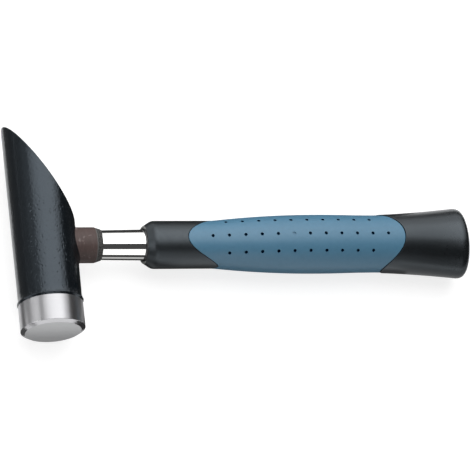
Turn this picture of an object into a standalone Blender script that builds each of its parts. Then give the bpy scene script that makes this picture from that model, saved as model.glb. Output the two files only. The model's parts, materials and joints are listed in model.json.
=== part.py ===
"""Round-headed cross-peen hammer on a tubular steel handle with a two-part moulded grip.

The hammer lies on its side on a flat surface. X runs along the handle towards the butt, Y along the
head towards the peen, and Z is up. Sizes are in metres. Places along the handle are measured from
the head's axis, and places along the head from the handle's axis.
"""

import math

import bmesh
import bpy
import numpy as np
from mathutils import Matrix, Vector
from mathutils.geometry import interpolate_bezier

# Head
HEAD_RADIUS = 0.0188
PEEN_RADIUS = 0.0192
FACE_REACH = 0.0545
FACE_CHAMFER = 0.0025
FACE_CHAMFER_LENGTH = 0.0015
BAND_LENGTH = 0.0170
BAND_RISE = 0.0002
BAND_GROOVE = 0.0003
RIM_RISE = 0.00045
RIM_LAND = 0.0006
RIM_FLARE = 0.0030
PEEN_REACH = 0.0739
PEEN_EDGE = 0.0002
PEEN_ANGLE = math.radians(31.7)
EYE_WALL = 0.0029

# Tube, with the plugs in its two ends
TUBE_RADIUS = 0.0092
TUBE_NECK_RADIUS = 0.0088
TUBE_WALL = 0.0020
BARE_TUBE_LENGTH = 0.0264
EXPANDER_LENGTH = 0.0220
EXPANSION = 0.0005
END_PLUG_LENGTH = 0.0120
END_PLUG_FLANGE = 0.0020

# Collar between the tube and the eye
COLLAR_WALL = 0.00155
COLLAR_LIP = 0.0003
COLLAR_PROJECTION = 0.0145
COLLAR_CHAMFER = 0.0038

# Grip, as the lengths that follow each other from its front face to the butt
CORE_WALL = 0.00255
NOSE_LENGTH = 0.0055
NOSE_LIP = 0.0016
NOSE_ROUND = 0.0007
FRONT_LENGTH = 0.0434
SWELL_LENGTH = 0.0655
SWELL_RISE = 0.0035
WAIST_LENGTH = 0.0370
WAIST_DROP = 0.0007
FLARE_LENGTH = 0.0529
FLARE_BEND = 0.0145
FLARE_RISE = 0.0046
BUTT_CORNER = 0.0038
BUTT_STEP = 0.00035
BUTT_FLATTENING = 0.195
BUTT_WALL = 0.0160

# Soft sleeve: lobes on the upper and lower sides, which lean a little to the face's side, and valleys
SLEEVE_WALL = 0.0020
SLEEVE_EDGE = 0.0004
FRONT_LOBE = 0.0186
FRONT_SCALLOP = 0.0205
REAR_LOBE = 0.0147
REAR_SCALLOP = 0.0126
LOBE_LEAN = math.radians(3)
LOBE_FULLNESS = 2.1

# Blind dots in the sleeve, sunk straight down in three rows on its upper and lower sides
DOT_RADIUS = 0.00105
DOT_FLOOR = 0.0008
DOT_PITCH = 0.0100
DOT_ROW_SPACING = 0.0100
DOT_FRONT_MARGIN = 0.0150
DOT_REAR_MARGIN = 0.0100

# Gap between pieces that touch
CLEARANCE = 0.0003

# Facets
SEGMENTS = 48
DOT_SEGMENTS = 8
CURVE_STEPS = 8
CORNER_STEPS = 5
SLEEVE_STATIONS = 20
MERGE_DISTANCE = 0.00001
SHARP_ANGLE = math.radians(30)

# Places along the handle
collar_end = HEAD_RADIUS + COLLAR_PROJECTION
grip_start = collar_end + BARE_TUBE_LENGTH
swell_start = grip_start + FRONT_LENGTH
swell_top = swell_start + SWELL_LENGTH
waist = swell_top + WAIST_LENGTH
flare_end = waist + FLARE_LENGTH
butt_end = flare_end + BUTT_CORNER
sleeve_start = swell_start - FRONT_LOBE
sleeve_end = waist + REAR_LOBE

# Radii of the head's ground band, of the rim above it and of the groove between them
rim_radius = HEAD_RADIUS + RIM_RISE
band_radius = HEAD_RADIUS + BAND_RISE
groove_radius = band_radius - BAND_GROOVE

# Radii of the handle, each built up from the tube outwards
collar_bore = TUBE_NECK_RADIUS + CLEARANCE
collar_radius = collar_bore + COLLAR_WALL
eye_radius = collar_radius + CLEARANCE
grip_bore = TUBE_RADIUS + CLEARANCE
front_radius = grip_bore + CORE_WALL + CLEARANCE + SLEEVE_WALL
swell_radius = front_radius + SWELL_RISE
waist_radius = swell_radius - WAIST_DROP
flare_radius = waist_radius + FLARE_RISE
butt_radius = flare_radius + BUTT_STEP
end_face_radius = butt_radius - BUTT_CORNER

# Depths of the blind holes, and the tube's two ends in them
eye_floor = EYE_WALL - math.sqrt(HEAD_RADIUS**2 - eye_radius**2)
tube_front = eye_floor + CLEARANCE
grip_floor = butt_end - BUTT_WALL
flange_end = grip_floor - CLEARANCE
tube_rear = flange_end - END_PLUG_FLANGE - CLEARANCE

# Lying on its side, the hammer touches the surface with the rims of the head and of the butt
butt_side = butt_radius * (1 - BUTT_FLATTENING)
end_face_side = end_face_radius * (1 - BUTT_FLATTENING)
butt_distance = math.hypot(flare_end, butt_side)
lie_angle = math.atan2(butt_side, flare_end) - math.asin(rim_radius / butt_distance)
butt_reach = butt_end * math.cos(lie_angle) + end_face_side * abs(math.sin(lie_angle))


def empty_scene():
    """Remove every object of the scene that the script starts from."""
    for obj in list(bpy.data.objects):
        bpy.data.objects.remove(obj, do_unlink=True)


def new_collection(name):
    """Add a collection to the scene."""
    collection = bpy.data.collections.new(name)
    bpy.context.scene.collection.children.link(collection)
    return collection


def new_material(name, color, roughness, metallic=0.0):
    """Make a plain material."""
    material = bpy.data.materials.new(name)
    material.use_nodes = True
    shader = material.node_tree.nodes["Principled BSDF"]
    shader.inputs["Base Color"].default_value = (*color, 1.0)
    shader.inputs["Roughness"].default_value = roughness
    shader.inputs["Metallic"].default_value = metallic
    material.diffuse_color = (*color, 1.0)
    return material


def add_object(name, mesh, collection, parent):
    """Put a mesh in a collection as an object that is placed from its parent."""
    obj = bpy.data.objects.new(name, mesh)
    collection.objects.link(obj)
    obj.parent = parent
    return obj


def add_cutter(name, mesh, parent):
    """Put a mesh among the cutters."""
    obj = add_object(name, mesh, cutters, parent)
    obj.display_type = "WIRE"
    obj.hide_render = True
    return obj


def cut(obj, cutter):
    """Cut an object with another one."""
    boolean = obj.modifiers.new(cutter.name, "BOOLEAN")
    boolean.operation = "DIFFERENCE"
    boolean.solver = "EXACT"
    boolean.object = cutter


def turned_mesh(name, profile, closed):
    """Make the mesh of a turned shape's profile, of (radius, height) points from top to bottom."""
    points = [(radius, 0.0, height) for radius, height in profile]
    edges = [(i, i + 1) for i in range(len(points) - 1)]
    if closed:
        edges.append((len(points) - 1, 0))
    mesh = bpy.data.meshes.new(name)
    mesh.from_pydata(points, edges, [])
    return mesh


def turn(obj):
    """Turn a profile once about its object's Z axis."""
    screw = obj.modifiers.new("Turned", "SCREW")
    screw.axis = "Z"
    screw.steps = SEGMENTS
    screw.render_steps = SEGMENTS
    screw.use_merge_vertices = True
    screw.merge_threshold = MERGE_DISTANCE


def turned_about_handle(name, profile, closed=False):
    """Make a piece that is turned about the handle's axis. Heights run towards the butt."""
    obj = add_object(name, turned_mesh(name, profile, closed), pieces, hammer)
    obj.rotation_euler = (0.0, math.radians(90), 0.0)
    turn(obj)
    return obj


def apply_modifiers(obj):
    """Turn an object's modifiers into its mesh."""
    bpy.context.view_layer.update()
    evaluated = obj.evaluated_get(bpy.context.evaluated_depsgraph_get())
    mesh = bpy.data.meshes.new_from_object(evaluated)
    mesh.name = obj.name
    obj.modifiers.clear()
    obj.data = mesh
    return mesh


def finish(obj, material):
    """Apply an object's modifiers, shade it smooth and give it its material."""
    mesh = apply_modifiers(obj)
    mesh.materials.clear()
    mesh.materials.append(material)
    mesh.shade_smooth()
    mesh.set_sharp_from_angle(angle=SHARP_ANGLE)


def arc(center, radius, start, end, steps):
    """Give the points of an arc in a plane, from one angle to another."""
    angles = [start + (end - start) * i / steps for i in range(steps + 1)]
    return [(center[0] + radius * math.cos(a), center[1] + radius * math.sin(a)) for a in angles]


def bezier(start, bend, end):
    """Give the points of a curve that leaves its start towards a bend and comes from it to its end."""
    start, bend, end = Vector(start), Vector(bend), Vector(end)
    first_handle = start.lerp(bend, 2 / 3)
    last_handle = end.lerp(bend, 2 / 3)
    return interpolate_bezier(start, first_handle, last_handle, end, CURVE_STEPS + 1)


def grip_outline():
    """Give the (place, radius) points of the grip's outside, from its front part to the butt's rim."""
    front = [Vector((grip_start, front_radius))]
    middle = (swell_start + swell_top) / 2
    swell = bezier((swell_start, front_radius), (middle, swell_radius), (swell_top, swell_radius))
    half_way = (swell_top + waist) / 2
    fall = interpolate_bezier(
        (swell_top, swell_radius),
        (half_way, swell_radius),
        (half_way, waist_radius),
        (waist, waist_radius),
        CURVE_STEPS + 1,
    )
    bend = (waist + FLARE_BEND, waist_radius)
    flare = bezier((waist, waist_radius), bend, (flare_end, flare_radius))
    return front + swell + fall[1:] + flare[1:]


def grip_radius(place):
    """Give the radius of the grip's outside at a place along the handle."""
    return float(np.interp(place, [p[0] for p in outline], [p[1] for p in outline]))


def butt_step(place):
    """Give how far the core stands above the sleeve's surface: nothing in front, a step at the butt."""
    return BUTT_STEP * float(np.interp(place, [swell_top, waist], [0.0, 1.0]))


def thickness_ratio(place):
    """Give how thick the grip is for its height: it is round up to the waist and oval at the butt."""
    share = float(np.clip((place - waist) / FLARE_LENGTH, 0.0, 1.0))
    return 1.0 - BUTT_FLATTENING * share**2 * (3 - 2 * share)


def scallop(angle):
    """Give how far an edge draws back at an angle from the upper side: 0 at a lobe, 1 at a valley."""
    lean = math.copysign(LOBE_LEAN, math.cos(angle))
    return abs(math.sin(angle + lean)) ** LOBE_FULLNESS


def sleeve_section(angle, grow, rise, edge):
    """Give the (place, radius) points round the sleeve's wall at an angle from the upper lobe.

    The wall's inside and its ends move outwards by grow, its outside by rise, and the outside's two
    edges are broken by edge.
    """
    start = sleeve_start + FRONT_SCALLOP * scallop(angle) - grow
    end = sleeve_end - REAR_SCALLOP * scallop(angle) + grow
    step = (end - start - 2 * edge) / SLEEVE_STATIONS
    places = [start + edge + step * i for i in range(SLEEVE_STATIONS + 1)]
    outside = [(p, grip_radius(p) + rise) for p in places]
    if edge:
        outside.insert(0, (start, grip_radius(start) + rise - edge))
        outside.append((end, grip_radius(end) + rise - edge))
    places[0] = start
    places[-1] = end
    inside = [(p, grip_radius(p) - SLEEVE_WALL - grow) for p in places]
    return outside + inside[::-1]


def sleeve_mesh(name, grow, rise, edge):
    """Loft the sleeve's wall round the handle, through its sections."""
    bm = bmesh.new()
    rings = []
    for j in range(SEGMENTS):
        angle = 2 * math.pi * j / SEGMENTS
        ring = []
        for place, radius in sleeve_section(angle, grow, rise, edge):
            thickness = radius * thickness_ratio(place)
            ring.append(bm.verts.new((place, radius * math.sin(angle), thickness * math.cos(angle))))
        rings.append(ring)
    for j, ring in enumerate(rings):
        following = rings[(j + 1) % SEGMENTS]
        for i in range(len(ring)):
            k = (i + 1) % len(ring)
            bm.faces.new((ring[i], ring[k], following[k], following[i]))
    bmesh.ops.recalc_face_normals(bm, faces=bm.faces)
    mesh = bpy.data.meshes.new(name)
    bm.to_mesh(mesh)
    bm.free()
    return mesh


def dot_places():
    """Give every dot's place along and across the sleeve. The side rows are shorter by two dots."""
    first = sleeve_start + DOT_FRONT_MARGIN
    count = int((sleeve_end - DOT_REAR_MARGIN - first) / DOT_PITCH) + 1
    row = [first + DOT_PITCH * i for i in range(count)]
    dots = [(place, 0.0) for place in row]
    for across in (-DOT_ROW_SPACING, DOT_ROW_SPACING):
        dots += [(place, across) for place in row[1:-1]]
    return dots


def dots_mesh(name):
    """Make an upright cylinder for each dot on both sides, from the dot's floor to well clear of it."""
    depth = SLEEVE_WALL - DOT_FLOOR
    clear = 2 * DOT_RADIUS
    bm = bmesh.new()
    for place, across in dot_places():
        surface = math.sqrt(grip_radius(place) ** 2 - across**2) * thickness_ratio(place)
        middle = surface + (clear - depth) / 2
        for height in (-middle, middle):
            bmesh.ops.create_cone(
                bm,
                cap_ends=True,
                segments=DOT_SEGMENTS,
                radius1=DOT_RADIUS,
                radius2=DOT_RADIUS,
                depth=depth + clear,
                matrix=Matrix.Translation((place, across, height)),
            )
    mesh = bpy.data.meshes.new(name)
    bm.to_mesh(mesh)
    bm.free()
    return mesh


def cylinder_cutter(name, radius, start, length):
    """Make a cutter for a round hole along the handle's axis."""
    bm = bmesh.new()
    bmesh.ops.create_cone(
        bm, cap_ends=True, segments=SEGMENTS, radius1=radius, radius2=radius, depth=length
    )
    mesh = bpy.data.meshes.new(name)
    bm.to_mesh(mesh)
    bm.free()
    cutter = add_cutter(name, mesh, hammer)
    cutter.location = (start + length / 2, 0.0, 0.0)
    cutter.rotation_euler = (0.0, math.radians(90), 0.0)
    return cutter


def make_head():
    """Turn the head, slant its peen and bore its blind eye."""
    groove = BAND_LENGTH - FACE_REACH
    rim = groove + RIM_LAND
    flare_start = (HEAD_RADIUS, rim + RIM_FLARE)
    profile = [(0.0, PEEN_REACH), (PEEN_RADIUS, PEEN_REACH)]
    profile += bezier(flare_start, (HEAD_RADIUS, rim + RIM_FLARE / 2), (rim_radius, rim))
    profile += [
        (groove_radius, groove),
        (band_radius, groove - BAND_GROOVE),
        (band_radius, FACE_CHAMFER_LENGTH - FACE_REACH),
        (band_radius - FACE_CHAMFER, -FACE_REACH),
        (0.0, -FACE_REACH),
    ]
    head = add_object("hammer_head", turned_mesh("hammer_head", profile, False), pieces, hammer)
    head.rotation_euler = (math.radians(-90), 0.0, 0.0)
    turn(head)

    bpy.ops.mesh.primitive_cube_add(size=1.0)
    wedge = bpy.context.object.data
    bpy.data.objects.remove(bpy.context.object)
    side = 4 * PEEN_REACH
    wedge.transform(Matrix.Diagonal((side, side, side, 1.0)))
    wedge.transform(Matrix.Translation((side / 2, 0.0, 0.0)))
    peen_cutter = add_cutter("peen_cutter", wedge, hammer)
    peen_cutter.location = (PEEN_EDGE - PEEN_RADIUS, PEEN_REACH, 0.0)
    peen_cutter.rotation_euler = (0.0, 0.0, PEEN_ANGLE)
    cut(head, peen_cutter)

    cut(head, cylinder_cutter("eye_cutter", eye_radius, eye_floor, 2 * HEAD_RADIUS))
    finish(head, new_material("black_paint", (0.020, 0.023, 0.027), 0.35))


def make_tube():
    """Turn the tube: a neck in the collar, a taper in the open, and a straight length in the grip."""
    neck_bore = TUBE_NECK_RADIUS - TUBE_WALL
    mouth = tube_front + EXPANDER_LENGTH
    profile = [
        (TUBE_RADIUS, tube_rear),
        (TUBE_RADIUS, grip_start),
        (TUBE_NECK_RADIUS, collar_end),
        (TUBE_NECK_RADIUS, tube_front),
        (neck_bore + EXPANSION, tube_front),
        (neck_bore, mouth),
        (neck_bore, collar_end),
        (TUBE_RADIUS - TUBE_WALL, grip_start),
        (TUBE_RADIUS - TUBE_WALL, tube_rear),
    ]
    tube = turned_about_handle("handle_tube", profile, closed=True)
    finish(tube, new_material("bright_steel", (0.80, 0.80, 0.79), 0.08, metallic=1.0))


def make_expander():
    """Turn the tapered plug that spreads the tube's front end."""
    small = TUBE_NECK_RADIUS - TUBE_WALL - CLEARANCE
    profile = [
        (0.0, tube_front + EXPANDER_LENGTH),
        (small, tube_front + EXPANDER_LENGTH),
        (small + EXPANSION, tube_front),
        (0.0, tube_front),
    ]
    plug = turned_about_handle("expander_plug", profile)
    finish(plug, new_material("plain_steel", (0.42, 0.42, 0.43), 0.4, metallic=1.0))


def make_end_plug():
    """Turn the flanged plug that closes the tube's rear end."""
    stem = TUBE_RADIUS - TUBE_WALL - CLEARANCE
    profile = [
        (0.0, flange_end),
        (TUBE_RADIUS, flange_end),
        (TUBE_RADIUS, flange_end - END_PLUG_FLANGE),
        (stem, flange_end - END_PLUG_FLANGE),
        (stem, flange_end - END_PLUG_FLANGE - END_PLUG_LENGTH),
        (0.0, flange_end - END_PLUG_FLANGE - END_PLUG_LENGTH),
    ]
    plug = turned_about_handle("tube_end_plug", profile)
    finish(plug, new_material("white_plastic", (0.60, 0.60, 0.57), 0.5))


def make_collar():
    """Turn the collar, from the eye's floor to the chamfer that ends close to the tube."""
    profile = [
        (collar_bore + COLLAR_LIP, collar_end),
        (collar_radius, collar_end - COLLAR_CHAMFER),
        (collar_radius, tube_front),
        (collar_bore, tube_front),
        (collar_bore, collar_end),
    ]
    collar = turned_about_handle("collar", profile, closed=True)
    finish(collar, new_material("brown_plastic", (0.080, 0.060, 0.057), 0.5))


def make_core():
    """Turn the grip's black core, flatten its butt, and cut the sleeve's seat and the tube's bore."""
    lip = grip_bore + NOSE_LIP
    profile = [(0.0, butt_end)]
    profile += arc((end_face_radius, flare_end), BUTT_CORNER, math.pi / 2, 0.0, CORNER_STEPS)
    profile += [(radius + butt_step(place), place) for place, radius in reversed(outline[1:-1])]
    profile += [
        (front_radius, grip_start + NOSE_LENGTH),
        (lip + NOSE_ROUND, grip_start + NOSE_ROUND),
        (lip, grip_start),
        (0.0, grip_start),
    ]
    core = turned_about_handle("grip_core", profile)
    for vertex in apply_modifiers(core).vertices:
        vertex.co.x *= thickness_ratio(vertex.co.z)
    seat = sleeve_mesh("seat_cutter", CLEARANCE, SLEEVE_WALL, 0.0)
    cut(core, add_cutter("seat_cutter", seat, hammer))
    bore_start = collar_end
    cut(core, cylinder_cutter("bore_cutter", grip_bore, bore_start, grip_floor - bore_start))
    finish(core, new_material("black_plastic", (0.022, 0.025, 0.028), 0.5))


def make_sleeve():
    """Loft the blue sleeve and sink the dots in it."""
    sleeve = add_object("grip_sleeve", sleeve_mesh("grip_sleeve", 0.0, 0.0, SLEEVE_EDGE), pieces, hammer)
    cut(sleeve, add_cutter("dot_cutter", dots_mesh("dot_cutter"), hammer))
    finish(sleeve, new_material("blue_rubber", (0.065, 0.175, 0.270), 0.5))


empty_scene()
pieces = new_collection("cross_peen_hammer")
cutters = new_collection("cutters")
hammer = bpy.data.objects.new("hammer", None)
pieces.objects.link(hammer)
hammer.location = ((rim_radius - butt_reach) / 2, (FACE_REACH - PEEN_REACH) / 2, rim_radius)
hammer.rotation_euler = (0.0, -lie_angle, 0.0)
outline = grip_outline()

make_head()
make_tube()
make_expander()
make_end_plug()
make_collar()
make_core()
make_sleeve()
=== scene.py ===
"""Looks of a round-headed cross-peen hammer with a tubular steel handle and a two-part moulded grip.

Every piece is built in the hammer's own frame, in metres: X runs along the handle from the head's axis
towards the butt, Y along the head towards the peen, and Z up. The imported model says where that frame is.
"""

import json
import math

import bmesh
import bpy
import numpy as np
from mathutils import Matrix, Vector
from mathutils.geometry import interpolate_bezier


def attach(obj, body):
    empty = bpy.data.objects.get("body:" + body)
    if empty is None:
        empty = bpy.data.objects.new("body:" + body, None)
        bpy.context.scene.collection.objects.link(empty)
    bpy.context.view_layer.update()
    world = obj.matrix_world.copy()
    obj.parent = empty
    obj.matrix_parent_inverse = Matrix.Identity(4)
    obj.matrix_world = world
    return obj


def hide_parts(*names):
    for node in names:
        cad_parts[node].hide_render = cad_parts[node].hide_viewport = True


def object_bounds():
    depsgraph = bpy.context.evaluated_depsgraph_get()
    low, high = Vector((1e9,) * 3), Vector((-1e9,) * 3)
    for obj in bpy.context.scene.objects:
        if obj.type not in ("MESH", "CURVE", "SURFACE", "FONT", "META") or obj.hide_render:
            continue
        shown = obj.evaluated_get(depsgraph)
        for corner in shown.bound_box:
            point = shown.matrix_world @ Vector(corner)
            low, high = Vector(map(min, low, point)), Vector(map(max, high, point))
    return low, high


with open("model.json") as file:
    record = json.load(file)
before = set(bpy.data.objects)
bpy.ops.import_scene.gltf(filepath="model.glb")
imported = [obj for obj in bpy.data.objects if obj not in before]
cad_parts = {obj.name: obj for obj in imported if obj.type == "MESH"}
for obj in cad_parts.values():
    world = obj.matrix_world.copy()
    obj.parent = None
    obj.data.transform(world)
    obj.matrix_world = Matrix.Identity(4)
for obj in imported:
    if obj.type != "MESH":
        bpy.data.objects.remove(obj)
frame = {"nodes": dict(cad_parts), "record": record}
cad_low, cad_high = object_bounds()

# The hammer's frame, from the two flat faces that the record states
mounts = {mount["name"]: mount for mount in frame["record"]["mounts"]}
face_center = Vector(mounts["striking_face"]["pos_m"])
butt_center = Vector(mounts["butt_end"]["pos_m"])
along_handle = Vector(mounts["butt_end"]["axis"]).normalized()
along_head = -Vector(mounts["striking_face"]["axis"]).normalized()
hammer_origin = Vector((face_center.x, butt_center.y, face_center.z))
hammer_place = Matrix((along_handle, along_head, along_handle.cross(along_head))).transposed().to_4x4()
hammer_place.translation = hammer_origin

# Head
HEAD_RADIUS = 0.0188
PEEN_RADIUS = 0.01945
FACE_REACH = 0.0545
FACE_CHAMFER = 0.0025
FACE_CHAMFER_LENGTH = 0.0015
BAND_LENGTH = 0.0170
BAND_RISE = 0.0002
BAND_GROOVE = 0.0003
RIM_RISE = 0.0008
RIM_LAND = 0.0011
RIM_FLARE = 0.0038
PEEN_REACH = 0.0745
PEEN_EDGE = 0.0002
PEEN_ANGLE = math.radians(31.7)
PEEN_ROUND = 0.0006
TIP_ROUND = 0.0002
TIP_LIFT = 0.0019
TIP_LIFT_LENGTH = 0.0051
EYE_WALL = 0.0029
BOSS_RISE = 0.0011
BOSS_FALL = 0.0016

# Tube and collar
TUBE_RADIUS = 0.0092
TUBE_NECK_RADIUS = 0.0088
TUBE_WALL = 0.0020
BARE_TUBE_LENGTH = 0.0264
COLLAR_WALL = 0.00155
COLLAR_LIP = 0.0003
COLLAR_PROJECTION = 0.0145
COLLAR_CHAMFER = 0.0038
# Length of the collar's corner strip, which carries a painted highlight
COLLAR_HIGHLIGHT_EDGE = 0.0005

# Grip, as the lengths that follow each other from its front face to the butt
CORE_WALL = 0.00255
NOSE_LENGTH = 0.0052
NOSE_ROUND = 0.0060
NOSE_LIP = 0.0016
NOSE_LIP_LENGTH = 0.0012
NOSE_LIP_SLOPE = 0.0006
NOSE_LIP_ROUND = 0.0009
# Turn and span of the painted highlight on the bead at the grip's front end
LIP_HIGHLIGHT_TURN = math.radians(-22.5)
LIP_HIGHLIGHT_SPAN = (0.0092, 0.0101)
FRONT_LENGTH = 0.0434
SWELL_LENGTH = 0.0655
SWELL_RISE = 0.0035
WAIST_LENGTH = 0.0370
WAIST_DROP = 0.0004
FLARE_LENGTH = 0.0529
FLARE_BEND = 0.0145
FLARE_RISE = 0.0043
BUTT_CORNER = 0.0038
BUTT_STEP = 0.00035
BUTT_FLATTENING = 0.195
BUTT_WALL = 0.0160
TUBE_END_GAP = 0.0026

# Sleeve and its dots
SLEEVE_WALL = 0.0020
FRONT_LOBE = 0.0186
FRONT_SCALLOP = 0.0205
REAR_LOBE = 0.0147
REAR_SCALLOP = 0.0126
LOBE_LEAN = math.radians(3)
LOBE_FULLNESS = 2.1
DOT_RADIUS = 0.0010
DOT_DEPTH = 0.0016
DOT_PITCH = 0.0100
DOT_ROW_SPACING = 0.0100
DOT_FRONT_MARGIN = 0.0150
DOT_REAR_MARGIN = 0.0100
SHALLOW_DOT = 5
SHALLOW_DEPTH = 0.0006

# Fine edges and gaps
CLEARANCE = 0.0003
FINE_ROUND = 0.00025
SOFT_ROUND = 0.0004

# Mesh density
SEGMENTS = 160
CURVE_STEPS = 20
ROUND_STEPS = 5
STRAIGHT_STEPS = 12
BODY_STEPS = 96
SLANT_STEPS = 24
FLARE_STEPS = 60
SEAT_STEPS = 40
SLEEVE_STATIONS = 70
DOT_SEGMENTS = 20
MERGE_DISTANCE = 1e-7
SHARP_ANGLE = math.radians(35)

# Places along the handle
collar_end = HEAD_RADIUS + COLLAR_PROJECTION
grip_start = collar_end + BARE_TUBE_LENGTH
swell_start = grip_start + FRONT_LENGTH
swell_top = swell_start + SWELL_LENGTH
waist = swell_top + WAIST_LENGTH
flare_end = waist + FLARE_LENGTH
butt_end = flare_end + BUTT_CORNER
sleeve_start = swell_start - FRONT_LOBE
sleeve_end = waist + REAR_LOBE

# Radii of the head's ground band, of the rim above it and of the groove between them
rim_radius = HEAD_RADIUS + RIM_RISE
band_radius = HEAD_RADIUS + BAND_RISE
groove_radius = band_radius - BAND_GROOVE

# Radii of the handle, each built up from the tube outwards
collar_bore = TUBE_NECK_RADIUS + CLEARANCE
collar_radius = collar_bore + COLLAR_WALL
eye_radius = collar_radius + CLEARANCE
grip_bore = TUBE_RADIUS + CLEARANCE
front_radius = grip_bore + CORE_WALL + CLEARANCE + SLEEVE_WALL
swell_radius = front_radius + SWELL_RISE
waist_radius = swell_radius - WAIST_DROP
flare_radius = waist_radius + FLARE_RISE
eye_floor = EYE_WALL - math.sqrt(HEAD_RADIUS**2 - eye_radius**2)
tube_front = eye_floor + CLEARANCE
grip_floor = butt_end - BUTT_WALL

# Camera, at the photograph's viewing angle
VIEW_AZIMUTH = math.radians(-38.574)
VIEW_ELEVATION = math.radians(62.061)
VIEW_ROLL = math.radians(34.849)
VIEW_TARGET = Vector((-0.003812, -0.003714, 0.0192))
VIEW_DISTANCE = 1.6573
SENSOR_WIDTH = 36.0
FOCAL_RATIO = 5.866

# Floor and studio
FLOOR_SIZE = 12.0
FLOOR_GAP = 0.0005
FLOOR_COLOR = (0.40, 0.40, 0.40)
FLOOR_GLOW = 0.79
STUDIO_LEVEL = 0.06


def bezier(start, bend, end, steps):
    """Give the points of a curve that leaves its start towards a bend and comes from it to its end."""
    start, bend, end = Vector(start), Vector(bend), Vector(end)
    return interpolate_bezier(start, start.lerp(bend, 2 / 3), end.lerp(bend, 2 / 3), end, steps + 1)


def rounded(corners):
    """Give an outline whose corners, each an (along, out, rounding) triple, are rounded off."""
    points = []
    for i, (along, out, rounding) in enumerate(corners):
        corner = Vector((along, out))
        if rounding == 0.0:
            points.append(corner)
            continue
        following = corners[(i + 1) % len(corners)]
        before = (Vector(corners[i - 1][:2]) - corner).normalized()
        after = (Vector(following[:2]) - corner).normalized()
        reach = rounding / math.tan(before.angle(after) / 2)
        points += bezier(corner + before * reach, corner, corner + after * reach, ROUND_STEPS)
    return points


def between(start, end, steps):
    """Give the places that divide a stretch into equal steps, without its ends."""
    return [start + (end - start) * i / steps for i in range(1, steps)]


def grip_outline():
    """Give the (place, radius) points of the grip's outside, from its front part to the butt's rim."""
    front = [Vector((grip_start, front_radius))]
    middle = (swell_start + swell_top) / 2
    swell = bezier(
        (swell_start, front_radius), (middle, swell_radius), (swell_top, swell_radius), CURVE_STEPS
    )
    half_way = (swell_top + waist) / 2
    fall = interpolate_bezier(
        (swell_top, swell_radius),
        (half_way, swell_radius),
        (half_way, waist_radius),
        (waist, waist_radius),
        CURVE_STEPS + 1,
    )
    bend = (waist + FLARE_BEND, waist_radius)
    flare = bezier((waist, waist_radius), bend, (flare_end, flare_radius), CURVE_STEPS)
    return front + swell + fall[1:] + flare[1:]


outline = grip_outline()
outline_places = [point[0] for point in outline]
outline_radii = [point[1] for point in outline]


def grip_radius(place):
    """Give the radius of the grip's outside at a place along the handle."""
    return float(np.interp(place, outline_places, outline_radii))


def core_radius(place):
    """Give the radius of the core's outside, which stands above the sleeve's at the butt."""
    return grip_radius(place) + BUTT_STEP * float(np.interp(place, [swell_top, waist], [0.0, 1.0]))


def thickness_ratio(place):
    """Give how thick the grip is for its height: it is round up to the waist and oval at the butt."""
    share = float(np.clip((place - waist) / FLARE_LENGTH, 0.0, 1.0))
    return 1.0 - BUTT_FLATTENING * share**2 * (3 - 2 * share)


def scallop(angle):
    """Give how far an edge draws back at an angle from the upper side: 0 at a lobe, 1 at a valley."""
    lean = math.copysign(LOBE_LEAN, math.cos(angle))
    return abs(math.sin(angle + lean)) ** LOBE_FULLNESS


def around_handle(angle, points, oval=False):
    """Place an outline's points at an angle round the handle, counted from the upper side."""
    placed = []
    for place, radius in points:
        thickness = radius * thickness_ratio(place) if oval else radius
        placed.append((place, radius * math.sin(angle), thickness * math.cos(angle)))
    return placed


def skin(name, sections, closed=False, finishes=None):
    """Join sections that stand round an axis into one mesh. Finishes number the strips' materials."""
    bm = bmesh.new()
    rings = [[bm.verts.new(point) for point in section] for section in sections]
    count = len(rings[0])
    strips = count if closed else count - 1
    for ring, following in zip(rings, rings[1:] + rings[:1]):
        for i in range(strips):
            k = (i + 1) % count
            strip = bm.faces.new((ring[i], ring[k], following[k], following[i]))
            strip.material_index = finishes[i] if finishes else 0
    bmesh.ops.remove_doubles(bm, verts=bm.verts, dist=MERGE_DISTANCE)
    bmesh.ops.recalc_face_normals(bm, faces=bm.faces)
    mesh = bpy.data.meshes.new(name)
    bm.to_mesh(mesh)
    bm.free()
    return mesh


def angles(count):
    """Give evenly spaced angles round a full turn."""
    return [2 * math.pi * j / count for j in range(count)]


def turned(name, points, closed=False, finishes=None):
    """Turn an outline about the handle."""
    sections = [around_handle(angle, points) for angle in angles(SEGMENTS)]
    return skin(name, sections, closed, finishes)


def add_object(name, mesh, *materials):
    """Put a mesh in the scene, in the hammer's frame, with its materials."""
    obj = bpy.data.objects.new(name, mesh)
    for material in materials:
        mesh.materials.append(material)
    bpy.context.scene.collection.objects.link(obj)
    obj.matrix_world = hammer_place
    return obj


def cut(obj, mesh):
    """Cut a mesh out of an object for good."""
    cutter = add_object("cutter", mesh)
    boolean = obj.modifiers.new("Cut", "BOOLEAN")
    boolean.operation = "DIFFERENCE"
    boolean.solver = "EXACT"
    boolean.object = cutter
    bpy.context.view_layer.update()
    evaluated = obj.evaluated_get(bpy.context.evaluated_depsgraph_get())
    obj.modifiers.clear()
    obj.data = bpy.data.meshes.new_from_object(evaluated)
    bpy.data.objects.remove(cutter)


def finish_piece(obj, node):
    """Shade a piece and let it stand for its CAD node."""
    obj.data.shade_smooth()
    obj.data.set_sharp_from_angle(angle=SHARP_ANGLE)
    weighted = obj.modifiers.new("Weighted normals", "WEIGHTED_NORMAL")
    weighted.keep_sharp = True
    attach(obj, "root")
    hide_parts(node)


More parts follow.
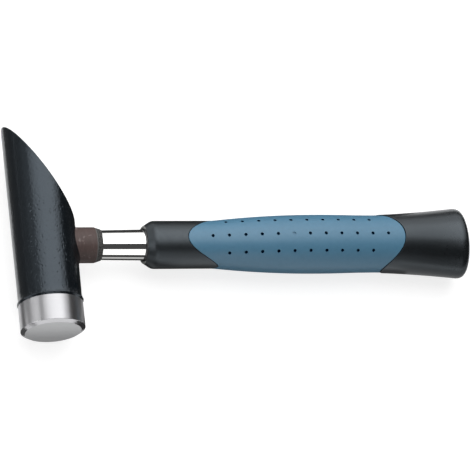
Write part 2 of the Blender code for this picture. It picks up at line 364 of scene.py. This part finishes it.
class Finish:
    """A material on a Principled shader, with the few node chains that the finishes use."""

    def __init__(self, name, color, roughness, metallic=0.0):
        self.material = bpy.data.materials.new(name)
        self.material.use_nodes = True
        self.tree = self.material.node_tree
        self.shader = self.tree.nodes["Principled BSDF"]
        self.shader.inputs["Base Color"].default_value = (*color, 1.0)
        self.shader.inputs["Roughness"].default_value = roughness
        self.shader.inputs["Metallic"].default_value = metallic
        self.coordinates = self.tree.nodes.new("ShaderNodeTexCoord").outputs["Object"]
        self.normal = None

    def gloss(self, level, tint=(1.0, 1.0, 1.0)):
        """Set how strong the reflection is, where 0.5 is common plastic, and its tint."""
        self.shader.inputs["Specular IOR Level"].default_value = level
        self.shader.inputs["Specular Tint"].default_value = (*tint, 1.0)

    def link(self, output, target):
        """Join a node's output to a socket."""
        self.tree.links.new(output, target)

    def stretched(self, scale):
        """Give coordinates in which a pattern is stretched by axis."""
        mapping = self.tree.nodes.new("ShaderNodeMapping")
        mapping.inputs["Scale"].default_value = scale
        self.link(self.coordinates, mapping.inputs["Vector"])
        return mapping.outputs["Vector"]

    def place(self, axis):
        """Give the place along one of the hammer's axes."""
        parts = self.tree.nodes.new("ShaderNodeSeparateXYZ")
        self.link(self.coordinates, parts.inputs["Vector"])
        return parts.outputs[axis]

    def product(self, first, second):
        """Multiply two patterns."""
        node = self.tree.nodes.new("ShaderNodeMath")
        node.operation = "MULTIPLY"
        self.link(first, node.inputs[0])
        self.link(second, node.inputs[1])
        return node.outputs[0]

    def sideways(self, turn):
        """Give the distance to either side of the handle, with the sides turned about it."""
        mapping = self.tree.nodes.new("ShaderNodeMapping")
        mapping.inputs["Rotation"].default_value = (turn, 0.0, 0.0)
        self.link(self.coordinates, mapping.inputs["Vector"])
        parts = self.tree.nodes.new("ShaderNodeSeparateXYZ")
        self.link(mapping.outputs["Vector"], parts.inputs["Vector"])
        distance = self.tree.nodes.new("ShaderNodeMath")
        distance.operation = "ABSOLUTE"
        self.link(parts.outputs["Y"], distance.inputs[0])
        return distance.outputs[0]

    def noise(self, size, detail=2.0, vector=None):
        """Give a soft random pattern whose features are about that size."""
        node = self.tree.nodes.new("ShaderNodeTexNoise")
        node.inputs["Scale"].default_value = 1.0 / size
        node.inputs["Detail"].default_value = detail
        self.link(vector or self.coordinates, node.inputs["Vector"])
        return node.outputs["Fac"]

    def cells(self, size):
        """Give the distance from scattered points that lie about that size apart."""
        node = self.tree.nodes.new("ShaderNodeTexVoronoi")
        node.inputs["Scale"].default_value = 1.0 / size
        self.link(self.coordinates, node.inputs["Vector"])
        return node.outputs["Distance"]

    def graded(self, pattern, low, high, from_value, to_value):
        """Turn a pattern's range from low to high into another range of values."""
        node = self.tree.nodes.new("ShaderNodeMapRange")
        node.inputs["From Min"].default_value = low
        node.inputs["From Max"].default_value = high
        node.inputs["To Min"].default_value = from_value
        node.inputs["To Max"].default_value = to_value
        self.link(pattern, node.inputs["Value"])
        return node.outputs["Result"]

    def mixed(self, factor, first, second):
        """Mix two colours, either of which may be a node's output."""
        node = self.tree.nodes.new("ShaderNodeMix")
        node.data_type = "RGBA"
        self.link(factor, node.inputs["Factor"])
        for color, socket in ((first, node.inputs[6]), (second, node.inputs[7])):
            if isinstance(color, tuple):
                socket.default_value = (*color, 1.0)
            else:
                self.link(color, socket)
        return node.outputs[2]

    def color(self, output):
        """Set the colour from nodes."""
        self.link(output, self.shader.inputs["Base Color"])

    def roughness(self, output):
        """Set the roughness from nodes."""
        self.link(output, self.shader.inputs["Roughness"])

    def bump(self, height, depth):
        """Raise the surface by a pattern, on top of what was raised before."""
        node = self.tree.nodes.new("ShaderNodeBump")
        node.inputs["Distance"].default_value = depth
        node.inputs["Strength"].default_value = 1.0
        self.link(height, node.inputs["Height"])
        if self.normal:
            self.link(self.normal, node.inputs["Normal"])
        self.normal = node.outputs["Normal"]
        self.link(self.normal, self.shader.inputs["Normal"])


def black_paint():
    """Sprayed black paint: glossy, with orange peel and a few pits."""
    paint = Finish("black_paint", (0.006, 0.007, 0.009), 0.30)
    paint.gloss(0.61, (0.74, 0.87, 1.0))
    cloud = paint.noise(0.006)
    paint.color(paint.mixed(cloud, (0.002, 0.003, 0.004), (0.004, 0.006, 0.008)))
    paint.roughness(paint.graded(paint.noise(0.0025), 0.35, 0.65, 0.18, 0.26))
    paint.bump(paint.noise(0.0018, 1.0), 0.00012)
    pits = paint.graded(paint.cells(0.0021), 0.0, 0.36, 1.0, 0.0)
    patches = paint.graded(paint.noise(0.007), 0.38, 0.55, 0.45, 1.0)
    upward = paint.graded(paint.place("Z"), 0.0110, 0.0160, 0.10, 1.0)
    backward = paint.graded(paint.place("Y"), 0.016, 0.030, 1.0, 0.35)
    paint.bump(paint.product(paint.product(pits, patches), paint.product(upward, backward)), -0.00020)
    return paint.material


def ground_steel():
    """Bare ground steel with fine turning marks round the head's axis."""
    steel = Finish("ground_steel", (0.43, 0.43, 0.442), 0.36, metallic=1.0)
    marks = steel.noise(0.00035, 3.0, steel.stretched((0.06, 1.0, 0.06)))
    steel.roughness(steel.graded(marks, 0.3, 0.7, 0.34, 0.40))
    steel.shader.inputs["Anisotropic"].default_value = 0.8
    steel.shader.inputs["Anisotropic Rotation"].default_value = 0.25
    tangent = steel.tree.nodes.new("ShaderNodeTangent")
    tangent.direction_type = "RADIAL"
    tangent.axis = "Y"
    steel.link(tangent.outputs["Tangent"], steel.shader.inputs["Tangent"])
    return steel.material


def face_steel():
    """The striking face, evenly ground."""
    steel = Finish("face_steel", (0.40, 0.405, 0.412), 0.34, metallic=1.0)
    marks = steel.noise(0.0009, 3.0, steel.stretched((0.20, 1.0, 1.0)))
    steel.color(steel.mixed(marks, (0.34, 0.344, 0.350), (0.46, 0.466, 0.474)))
    steel.roughness(steel.graded(marks, 0.3, 0.7, 0.30, 0.38))
    steel.bump(marks, 0.00003)
    return steel.material


def chamfer_steel():
    """The bright turned chamfer round the striking face."""
    steel = Finish("chamfer_steel", (0.42, 0.42, 0.432), 0.18, metallic=1.0)
    steel.roughness(steel.graded(steel.noise(0.001, 3.0), 0.3, 0.7, 0.14, 0.22))
    return steel.material


def bright_chrome():
    """Polished chrome with a faint haze of handling marks."""
    chrome = Finish("bright_chrome", (0.90, 0.90, 0.89), 0.05, metallic=1.0)
    chrome.roughness(chrome.graded(chrome.noise(0.002, 4.0), 0.3, 0.7, 0.03, 0.07))
    return chrome.material


def brown_plastic():
    """Brown moulded collar with a fine grain across it and pale scuffs."""
    brown = Finish("brown_plastic", (0.080, 0.060, 0.057), 0.5)
    brown.gloss(0.3)
    grain = brown.noise(0.0008, 3.0, brown.stretched((1.0, 0.2, 0.2)))
    shades = brown.mixed(grain, (0.045, 0.029, 0.026), (0.105, 0.071, 0.066))
    scuffs = brown.graded(brown.noise(0.0032, 3.0), 0.62, 0.72, 0.0, 0.45)
    brown.color(brown.mixed(scuffs, shades, (0.30, 0.25, 0.24)))
    brown.roughness(brown.graded(grain, 0.3, 0.7, 0.45, 0.6))
    brown.bump(grain, 0.00003)
    return brown.material


def rough_grey():
    """The collar's cut chamfer, dull and finely rough."""
    grey = Finish("rough_grey", (0.045, 0.044, 0.043), 0.7)
    grain = grey.noise(0.0009, 4.0)
    shades = grey.graded(grain, 0.35, 0.65, 0.0, 1.0)
    grey.color(grey.mixed(shades, (0.010, 0.010, 0.0095), (0.080, 0.079, 0.076)))
    grey.bump(grain, 0.0001)
    return grey.material


def painted_highlight_edge():
    """The collar's corner, painted pale: a painted highlight where the rounded corner catches light."""
    edge = Finish("painted_highlight_edge", (0.16, 0.16, 0.155), 0.5)
    grain = edge.noise(0.0008, 3.0)
    edge.color(edge.mixed(grain, (0.03, 0.03, 0.029), (0.17, 0.17, 0.165)))
    return edge.material


def painted_highlight_lip():
    """The bead round the tube at the grip's front end, black, with a painted highlight at its top and
    bottom.
    """
    lip = Finish("painted_highlight_lip", (0.22, 0.23, 0.23), 0.4)
    shades = lip.mixed(lip.noise(0.001), (0.16, 0.165, 0.16), (0.48, 0.49, 0.48))
    # The pale colour at the bead's top and bottom, with the sides turned, is a painted highlight where the
    # bead catches light
    painted_highlight = lip.graded(lip.sideways(LIP_HIGHLIGHT_TURN), *LIP_HIGHLIGHT_SPAN, 0.0, 1.0)
    lip.color(lip.mixed(painted_highlight, (0.006, 0.007, 0.008), shades))
    return lip.material


def painted_shade_hole():
    """The inside of the sleeve's dots, painted dark as shade where hardly any light reaches."""
    hole = Finish("painted_shade_hole", (0.001, 0.020, 0.055), 0.9)
    hole.gloss(0.0)
    return hole.material


def black_plastic():
    """Satin black moulding with a fine even grain."""
    black = Finish("black_plastic", (0.010, 0.011, 0.012), 0.42)
    black.gloss(0.80, (0.80, 0.91, 1.0))
    black.color(black.mixed(black.noise(0.004), (0.003, 0.0035, 0.004), (0.005, 0.006, 0.007)))
    satin = black.graded(black.noise(0.0015, 3.0), 0.3, 0.7, 0.36, 0.45)
    smoother = black.graded(black.place("X"), swell_top, butt_end, 1.0, 0.70)
    black.roughness(black.product(satin, smoother))
    black.bump(black.noise(0.00035), 0.000006)
    return black.material


def blue_rubber():
    """Soft blue moulding, satin, with slightly uneven colour."""
    blue = Finish("blue_rubber", (0.065, 0.175, 0.270), 0.48)
    blue.color(blue.mixed(blue.noise(0.0025, 4.0), (0.062, 0.172, 0.268), (0.077, 0.203, 0.312)))
    blue.roughness(blue.graded(blue.noise(0.0012, 3.0), 0.3, 0.7, 0.36, 0.45))
    blue.bump(blue.noise(0.0004), 0.000015)
    return blue.material


def plain_steel():
    """Turned steel inside the head."""
    steel = Finish("plain_steel", (0.42, 0.42, 0.43), 0.4, metallic=1.0)
    marks = steel.noise(0.0004, 3.0, steel.stretched((1.0, 0.08, 0.08)))
    steel.roughness(steel.graded(marks, 0.3, 0.7, 0.34, 0.48))
    return steel.material


def white_plastic():
    """Plain moulded plastic inside the tube."""
    white = Finish("white_plastic", (0.60, 0.60, 0.57), 0.5)
    white.color(white.mixed(white.noise(0.002), (0.57, 0.57, 0.54), (0.63, 0.63, 0.60)))
    return white.material


def peen_height(across):
    """Give the slanted face's height at a distance across the head from the tip. It hollows at the tip."""
    slanted = PEEN_REACH - max(0.0, across - PEEN_EDGE) / math.tan(PEEN_ANGLE)
    return slanted + TIP_LIFT * math.exp(-across / TIP_LIFT_LENGTH)


def boss(angle, place, radius):
    """Give how far the head's side rises round the eye. It rises most towards the face."""
    if math.sin(angle) <= 0.0:
        return 0.0
    away = math.hypot(place, radius * math.cos(angle)) - eye_radius
    share = float(np.clip(0.5 - place / (2 * eye_radius), 0.0, 1.0))
    return BOSS_RISE * share * math.exp(-max(0.0, away) / BOSS_FALL)


def make_head():
    """Skin the head round its axis: ground face and band, painted body, slanted peen, and the eye."""
    groove = BAND_LENGTH - FACE_REACH
    rim = groove + RIM_LAND
    body_start = rim + RIM_FLARE
    ground = [
        (-FACE_REACH, 0.0, 0.0),
        (-FACE_REACH, band_radius - FACE_CHAMFER, SOFT_ROUND),
        (FACE_CHAMFER_LENGTH - FACE_REACH, band_radius, FINE_ROUND),
        (groove - BAND_GROOVE, band_radius, 0.0),
        (groove, groove_radius, 0.0),
    ]
    flare = bezier(
        (rim, rim_radius), (rim + RIM_FLARE / 2, HEAD_RADIUS), (body_start, HEAD_RADIUS), 2 * ROUND_STEPS
    )
    painted_rim = [(rim, rim_radius, FINE_ROUND)] + [(*point, 0.0) for point in flare[1:]]
    ground_strips = len(rounded(ground)) - 1
    edge_strips = ROUND_STEPS + 1
    sections = []
    for angle in angles(SEGMENTS):
        turn = math.sin(angle)
        top = peen_height(PEEN_RADIUS + HEAD_RADIUS * turn)
        edge = TIP_ROUND + (PEEN_ROUND - TIP_ROUND) * min(1.0, 2 * (1.0 + turn))
        body = []
        for place in between(body_start, top, BODY_STEPS) + [top]:
            radius = float(np.interp(place, [body_start, PEEN_REACH], [HEAD_RADIUS, PEEN_RADIUS]))
            body.append((place, radius + boss(angle, place, radius), edge if place == top else 0.0))
        out = body[-1][1]
        slant = []
        for share in between(1.0, 0.0, SLANT_STEPS) + [0.0]:
            slant.append((peen_height(PEEN_RADIUS + share * out * turn), share * out, 0.0))
        points = rounded(ground + painted_rim + body + slant)
        sections.append([(r * math.sin(angle), y, r * math.cos(angle)) for y, r in points])
    painted, band, chamfer, face = range(4)
    strips = len(sections[0]) - 1
    finishes = [band] * ground_strips + [painted] * (strips - ground_strips)
    finishes[:edge_strips] = [face] * edge_strips
    finishes[edge_strips : 2 * edge_strips] = [chamfer] * edge_strips
    mesh = skin("head", sections, finishes=finishes)
    head = add_object("head", mesh, black_paint(), ground_steel(), chamfer_steel(), face_steel())
    eye = [(eye_floor, 0.0), (eye_floor, eye_radius), (2 * HEAD_RADIUS, eye_radius), (2 * HEAD_RADIUS, 0.0)]
    cut(head, turned("eye", eye))
    finish_piece(head, "hammer_head")


def make_tube():
    """Turn the chromed tube."""
    rear = grip_floor - TUBE_END_GAP
    bore = TUBE_NECK_RADIUS - TUBE_WALL
    corners = [
        (rear, TUBE_RADIUS, FINE_ROUND),
        (grip_start, TUBE_RADIUS, 0.0),
        (collar_end, TUBE_NECK_RADIUS, 0.0),
        (tube_front, TUBE_NECK_RADIUS, FINE_ROUND),
        (tube_front, bore, FINE_ROUND),
        (collar_end, bore, 0.0),
        (grip_start, TUBE_RADIUS - TUBE_WALL, 0.0),
        (rear, TUBE_RADIUS - TUBE_WALL, FINE_ROUND),
    ]
    tube = add_object("tube", turned("tube", rounded(corners), closed=True), bright_chrome())
    finish_piece(tube, "handle_tube")


def make_collar():
    """Turn the collar, with its dull chamfer and a painted highlight on its corner."""
    corner = collar_end - COLLAR_CHAMFER
    drop = COLLAR_HIGHLIGHT_EDGE * (COLLAR_WALL - COLLAR_LIP) / COLLAR_CHAMFER
    points = rounded(
        [
            (collar_end, collar_bore + COLLAR_LIP, 0.0),
            (corner + COLLAR_HIGHLIGHT_EDGE, collar_radius - drop, 0.0),
            (corner, collar_radius, FINE_ROUND),
            (tube_front, collar_radius, FINE_ROUND),
            (tube_front, collar_bore, FINE_ROUND),
            (collar_end, collar_bore, 0.0),
        ]
    )
    # The corner strip and its rounding take the painted highlight
    brown, dull, highlight_edge = range(3)
    rest = len(points) - ROUND_STEPS - 3
    finishes = [dull, highlight_edge] + [highlight_edge] * ROUND_STEPS + [brown] * rest + [dull]
    mesh = turned("collar_ring", points, True, finishes)
    collar = add_object("collar_ring", mesh, brown_plastic(), rough_grey(), painted_highlight_edge())
    finish_piece(collar, "collar")


def core_section(angle):
    """Give the core's outline at an angle from the upper lobe, from the butt to the bore's floor."""
    front_edge = sleeve_start + FRONT_SCALLOP * scallop(angle) - CLEARANCE
    rear_edge = sleeve_end - REAR_SCALLOP * scallop(angle) + CLEARANCE
    seat = SLEEVE_WALL + CLEARANCE
    lip = grip_bore + NOSE_LIP
    lip_end = grip_start + NOSE_LIP_LENGTH
    corners = [(butt_end, 0.0, 0.0), (butt_end, flare_radius + BUTT_STEP, BUTT_CORNER)]
    flare = between(flare_end - FINE_ROUND, rear_edge + SOFT_ROUND, FLARE_STEPS)
    corners += [(place, core_radius(place), 0.0) for place in flare]
    corners += [
        (rear_edge, core_radius(rear_edge), FINE_ROUND),
        (rear_edge, grip_radius(rear_edge) - seat, 0.0),
    ]
    floor = between(rear_edge, front_edge, SEAT_STEPS)
    corners += [(place, grip_radius(place) - seat, 0.0) for place in floor]
    corners += [
        (front_edge, grip_radius(front_edge) - seat, 0.0),
        (front_edge, grip_radius(front_edge), FINE_ROUND),
    ]
    nose_end = grip_start + NOSE_LENGTH
    front = between(front_edge - SOFT_ROUND, nose_end + NOSE_ROUND, STRAIGHT_STEPS)
    corners += [(place, core_radius(place), 0.0) for place in front]
    corners += [
        (nose_end, front_radius, NOSE_ROUND),
        (lip_end, lip + NOSE_LIP_SLOPE, 0.0),
        (grip_start, lip, NOSE_LIP_ROUND),
        (grip_start, grip_bore, FINE_ROUND),
        (grip_floor, grip_bore, 0.0),
        (grip_floor, 0.0, 0.0),
    ]
    return rounded(corners)


def make_core():
    """Skin the grip's black core."""
    sections = [around_handle(angle, core_section(angle), oval=True) for angle in angles(SEGMENTS)]
    strips = len(sections[0]) - 1
    # The bead's rounded strips carry the painted highlight
    black, lip = range(2)
    behind = ROUND_STEPS + 2
    painted_highlight = ROUND_STEPS + 1
    finishes = [black] * (strips - painted_highlight - behind) + [lip] * painted_highlight + [black] * behind
    mesh = skin("grip_body", sections, finishes=finishes)
    core = add_object("grip_body", mesh, black_plastic(), painted_highlight_lip())
    finish_piece(core, "grip_core")


def sleeve_section(angle):
    """Give the sleeve's outline at an angle from the upper lobe."""
    start = sleeve_start + FRONT_SCALLOP * scallop(angle)
    end = sleeve_end - REAR_SCALLOP * scallop(angle)
    outside = between(start + SOFT_ROUND, end - SOFT_ROUND, SLEEVE_STATIONS)
    inside = between(end, start, CURVE_STEPS)
    corners = [(start, grip_radius(start), SOFT_ROUND)]
    corners += [(place, grip_radius(place), 0.0) for place in outside]
    corners += [(end, grip_radius(end), SOFT_ROUND), (end, grip_radius(end) - SLEEVE_WALL, 0.0)]
    corners += [(place, grip_radius(place) - SLEEVE_WALL, 0.0) for place in inside]
    corners += [(start, grip_radius(start) - SLEEVE_WALL, 0.0)]
    return rounded(corners)


def dot_places():
    """Give every dot's place along and across the sleeve. The side rows are shorter by two dots."""
    first = sleeve_start + DOT_FRONT_MARGIN
    count = int((sleeve_end - DOT_REAR_MARGIN - first) / DOT_PITCH) + 1
    row = [first + DOT_PITCH * i for i in range(count)]
    dots = [(place, 0.0) for place in row]
    for across in (-DOT_ROW_SPACING, DOT_ROW_SPACING):
        dots += [(place, across) for place in row[1:-1]]
    return dots


def dots_mesh():
    """Make a cutter square to the surface for each dot. One dot of the upper side is half filled."""
    clear = 2 * DOT_RADIUS
    bm = bmesh.new()
    for i, (place, across) in enumerate(dot_places()):
        surface = math.sqrt(grip_radius(place) ** 2 - across**2) * thickness_ratio(place)
        tilt = math.asin(across / grip_radius(place))
        for side in (1.0, -1.0):
            filled = i == SHALLOW_DOT and side > 0.0
            depth = SHALLOW_DEPTH if filled else DOT_DEPTH
            leaning = Matrix.Rotation(-side * tilt, 4, "X")
            outward = Matrix.Translation((0.0, 0.0, side * (clear - depth) / 2))
            shape = bmesh.ops.create_cone(
                bm,
                cap_ends=True,
                segments=DOT_SEGMENTS,
                radius1=DOT_RADIUS,
                radius2=DOT_RADIUS,
                depth=depth + clear,
                matrix=Matrix.Translation((place, across, side * surface)) @ leaning @ outward,
            )
            # Deep dots take the painted shade inside; the half filled one stays blue
            for vertex in shape["verts"]:
                for face in vertex.link_faces:
                    face.material_index = 0 if filled else 1
    mesh = bpy.data.meshes.new("dots")
    bm.to_mesh(mesh)
    bm.free()
    return mesh


def make_sleeve():
    """Skin the blue sleeve and sink its dots."""
    sections = [around_handle(angle, sleeve_section(angle), oval=True) for angle in angles(SEGMENTS)]
    mesh = skin("grip_cover", sections, closed=True)
    sleeve = add_object("grip_cover", mesh, blue_rubber(), painted_shade_hole())
    cut(sleeve, dots_mesh())
    finish_piece(sleeve, "grip_sleeve")


def dress_hidden_pieces():
    """Give the two plugs that stay as they are in the CAD their finishes."""
    for node, material in (("expander_plug", plain_steel()), ("tube_end_plug", white_plastic())):
        mesh = frame["nodes"][node].data
        mesh.materials.clear()
        mesh.materials.append(material)


def make_camera():
    """Set the camera at the photograph's viewing angle."""
    data = bpy.data.cameras.new("camera")
    data.sensor_width = SENSOR_WIDTH
    data.lens = SENSOR_WIDTH * FOCAL_RATIO
    camera = bpy.data.objects.new("camera", data)
    bpy.context.scene.collection.objects.link(camera)
    level = math.cos(VIEW_ELEVATION)
    back = Vector(
        (math.sin(VIEW_AZIMUTH) * level, -math.cos(VIEW_AZIMUTH) * level, math.sin(VIEW_ELEVATION))
    )
    camera.location = VIEW_TARGET + back * VIEW_DISTANCE
    upright = (-back).to_track_quat("-Z", "Y").to_matrix()
    camera.rotation_euler = (upright @ Matrix.Rotation(VIEW_ROLL, 3, "Z")).to_euler()
    bpy.context.scene.camera = camera


def make_sheet(name, width, material):
    """Make a square level sheet of the studio, which isn't part of the hammer."""
    bm = bmesh.new()
    bmesh.ops.create_grid(bm, x_segments=1, y_segments=1, size=width / 2)
    mesh = bpy.data.meshes.new(name)
    bm.to_mesh(mesh)
    bm.free()
    mesh.materials.append(material)
    sheet = bpy.data.objects.new(name, mesh)
    bpy.context.scene.collection.objects.link(sheet)
    return sheet


def make_floor():
    """Lay a plain pale floor that looks white and keeps the hammer's shadow."""
    finish = Finish("pale_floor", FLOOR_COLOR, 0.9)
    finish.shader.inputs["Specular IOR Level"].default_value = 0.0
    finish.shader.inputs["Emission Color"].default_value = (1.0, 1.0, 1.0, 1.0)
    path = finish.tree.nodes.new("ShaderNodeLightPath")
    seen = path.outputs["Is Camera Ray"]
    for kind in ("Is Glossy Ray", "Is Transmission Ray"):
        either = finish.tree.nodes.new("ShaderNodeMath")
        either.operation = "MAXIMUM"
        finish.link(seen, either.inputs[0])
        finish.link(path.outputs[kind], either.inputs[1])
        seen = either.outputs[0]
    glow = finish.graded(seen, 0.0, 1.0, 0.0, FLOOR_GLOW)
    finish.link(glow, finish.shader.inputs["Emission Strength"])
    floor = make_sheet("floor", FLOOR_SIZE, finish.material)
    floor.location.z = cad_low.z - FLOOR_GAP


def make_light(name, center, size, radiance):
    """Hang a soft light panel that faces the head's middle."""
    data = bpy.data.lights.new(name, "AREA")
    data.shape = "RECTANGLE"
    data.size, data.size_y = size
    data.energy = 4 * radiance * size[0] * size[1]
    lamp = bpy.data.objects.new(name, data)
    bpy.context.scene.collection.objects.link(lamp)
    lamp.location = hammer_origin + Vector(center)
    lamp.rotation_euler = (-Vector(center)).to_track_quat("-Z", "Y").to_euler()
    return lamp


def make_card(name, along, across, radiance, height=None):
    """Lay a sheet on the floor beside the hammer, or hang it above. Only its reflection shows: a painted
    reflection, painted shade where it is dark.
    """
    material = bpy.data.materials.new(name)
    material.use_nodes = True
    shader = material.node_tree.nodes["Principled BSDF"]
    shader.inputs["Base Color"].default_value = (0.0, 0.0, 0.0, 1.0)
    shader.inputs["Specular IOR Level"].default_value = 0.0
    shader.inputs["Emission Color"].default_value = (1.0, 1.0, 1.0, 1.0)
    shader.inputs["Emission Strength"].default_value = radiance
    card = make_sheet(name, 1.0, material)
    card.location = (
        hammer_origin.x + sum(along) / 2,
        hammer_origin.y + sum(across) / 2,
        hammer_origin.z + height if height else cad_low.z - FLOOR_GAP / 2,
    )
    card.scale = (along[1] - along[0], across[1] - across[0], 1.0)
    card.visible_camera = False
    card.visible_diffuse = False
    card.visible_shadow = False


def make_lights():
    """Light the hammer with soft panels in a dim studio, and lay the cards whose painted reflections its
    gloss shows.
    """
    make_light("overhead_panel", (0.08, 0.36, 0.68), (1.38, 1.15), 1.15)
    make_light("overhead_middle", (0.07, 0.335, 0.69), (0.90, 0.95), 0.62)
    make_light("overhead_heart", (0.12, 0.325, 0.69), (0.58, 0.70), 0.32)
    make_light("back_panel", (0.10, 0.95, 0.26), (1.5, 0.36), 0.9)
    make_light("front_panel", (0.008, -1.0, 0.335), (0.80, 0.67), 1.02)
    make_light("left_panel", (-1.0, 0.35, 0.60), (1.2, 1.2), 0.22)
    wing = make_light("left_upper_panel", (-0.84, 0.35, 0.60), (1.2, 0.42), 0.20)
    wing.visible_diffuse = False
    gleam = make_light("left_front_panel", (-1.02, -0.245, 0.38), (0.44, 0.66), 4.2)
    gleam.visible_diffuse = False
    fill = make_light("front_fill", (0.10, -0.90, 0.12), (1.2, 0.3), 0.7)
    fill.visible_glossy = False
    # Dark cards are painted shade seen only in the hammer's gloss, mostly of the floor round and under it;
    # bright cards glow as painted reflections
    make_card("rear_card", (0.022, 0.245), (-0.017, 0.100), 0.04)
    make_card("far_card", (0.050, 2.500), (0.100, 1.200), 0.04)
    make_card("left_card", (-2.500, -0.033), (-0.020, 0.250), 0.20)
    make_card("tube_card", (0.028, 0.085), (-0.112, -0.037), 0.05)
    make_card("tube_strip", (0.030, 0.070), (-0.037, -0.020), 0.50)
    make_card("under_tube_card", (0.030, 0.070), (-0.020, -0.017), 0.05)
    make_card("grip_card", (0.070, 0.230), (-0.037, -0.017), 0.17)
    make_card("butt_card", (0.230, 0.450), (-0.200, -0.017), 0.55)
    make_card("butt_flag", (0.370, 0.900), (-0.300, 0.030), 0.06, 0.60)
    make_card("face_card", (-0.016, 0.028), (-0.064, -0.040), 0.50)
    make_card("face_reflector", (-0.016, 0.028), (-0.130, -0.064), 1.10)
    make_card("face_left_card", (-0.034, -0.016), (-0.072, -0.052), 0.12)
    make_card("band_left_card", (-0.066, -0.034), (-0.120, -0.020), 0.15)
    make_card("chamfer_reflector", (-0.060, 0.300), (-0.900, -0.130), 1.40)
    world = bpy.data.worlds.new("studio")
    world.use_nodes = True
    background = world.node_tree.nodes["Background"]
    background.inputs["Color"].default_value = (STUDIO_LEVEL, STUDIO_LEVEL, STUDIO_LEVEL, 1.0)
    bpy.context.scene.world = world


make_head()
make_tube()
make_collar()
make_core()
make_sleeve()
dress_hidden_pieces()
make_floor()
make_lights()
make_camera()
bpy.context.scene.view_settings.view_transform = "Standard"
